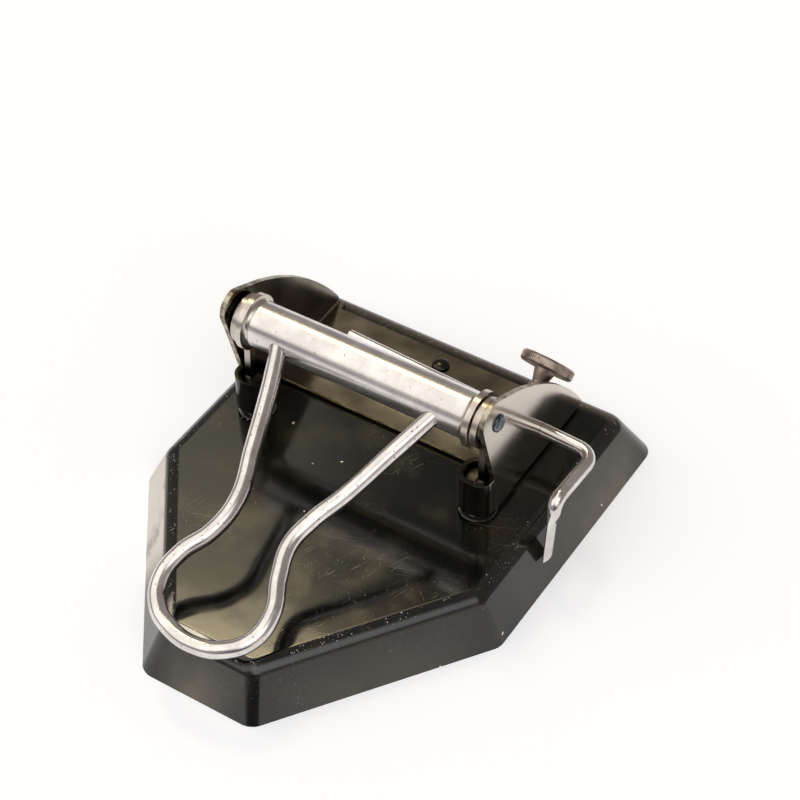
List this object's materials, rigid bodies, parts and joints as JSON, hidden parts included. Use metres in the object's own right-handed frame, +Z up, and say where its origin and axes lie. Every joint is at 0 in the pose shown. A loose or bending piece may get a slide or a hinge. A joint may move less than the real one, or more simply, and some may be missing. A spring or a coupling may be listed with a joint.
{
  "type": "paper perforating machine",
  "caption": "Desk perforating machine for filing holes: pressed base, folded bracket with punch guides, eccentric tube under a wire press handle, and a sliding side gauge.",
  "frame": {"origin": "centre of the base's footprint on the table", "axes": "+X to the right, towards the side gauge's paddle; +Y to the back, away from the press handle's loop; +Z up"},
  "size_m": [0.1112, 0.1366, 0.0548],
  "materials": {
    "black_japan": "glossy black japan, worn at the edges",
    "nickel": "bright nickel plate, lightly pitted",
    "steel": "plain steel, dulled",
    "tarnished_brass": "tarnished to a brownish pink"
  },
  "bodies": {
    "base": {"base_pan": "black_japan", "bracket": "black_japan", "rivet_left": "steel", "rivet_right": "steel", "rivet_back": "black_japan", "left_die": "steel", "right_die": "steel", "left_pivot": "steel", "right_pivot": "steel", "gauge_bush": "steel"},
    "lever": {"lever_tube": "nickel", "left_end_plug": "nickel", "right_end_plug": "nickel", "handle_loop": "nickel"},
    "left_strap_body": {"left_strap": "nickel"},
    "right_strap_body": {"right_strap": "nickel"},
    "left_punch_body": {"left_punch": "steel", "left_punch_pin": "steel"},
    "right_punch_body": {"right_punch": "steel", "right_punch_pin": "steel"},
    "gauge": {"gauge_rod": "nickel"},
    "screw": {"thumbscrew": "tarnished_brass"}
  },
  "joints": [
    {"name": "lever_turn", "type": "hinge", "parent": "base", "child": "lever", "pos_m": [-0.0024, 0.0141, 0.0468], "axis": [-1, 0, 0], "range_deg": [0, 110]},
    {"name": "left_strap_swing", "type": "hinge", "parent": "lever", "child": "left_strap_body", "pos_m": [-0.0388, 0.0141, 0.045], "axis": [-1, 0, 0], "range_deg": [-116, 0]},
    {"name": "right_strap_swing", "type": "hinge", "parent": "lever", "child": "right_strap_body", "pos_m": [0.034, 0.0141, 0.045], "axis": [-1, 0, 0], "range_deg": [-116, 0]},
    {"name": "left_punch_slide", "type": "slide", "parent": "base", "child": "left_punch_body", "axis": [0, 0, 1], "range_m": [0, 0.002]},
    {"name": "right_punch_slide", "type": "slide", "parent": "base", "child": "right_punch_body", "axis": [0, 0, 1], "range_m": [0, 0.002]},
    {"name": "gauge_slide", "type": "slide", "parent": "base", "child": "gauge", "axis": [0.9987, -0.0506, 0], "range_m": [0, 0.045]},
    {"name": "thumbscrew_turn", "type": "hinge", "parent": "base", "child": "screw", "pos_m": [0.0307, 0.03715, 0.0245], "axis": [0.0404, 0.7976, 0.6018], "range_deg": [0, 360]}
  ],
  "couplings": [
    {"joint": "left_strap_swing", "follows": "lever_turn", "ratio": -1.05},
    {"joint": "right_strap_swing", "follows": "lever_turn", "ratio": -1.05},
    {"joint": "left_punch_slide", "follows": "lever_turn", "m_per_rad": 0.00104},
    {"joint": "right_punch_slide", "follows": "lever_turn", "m_per_rad": 0.00104}
  ]
}
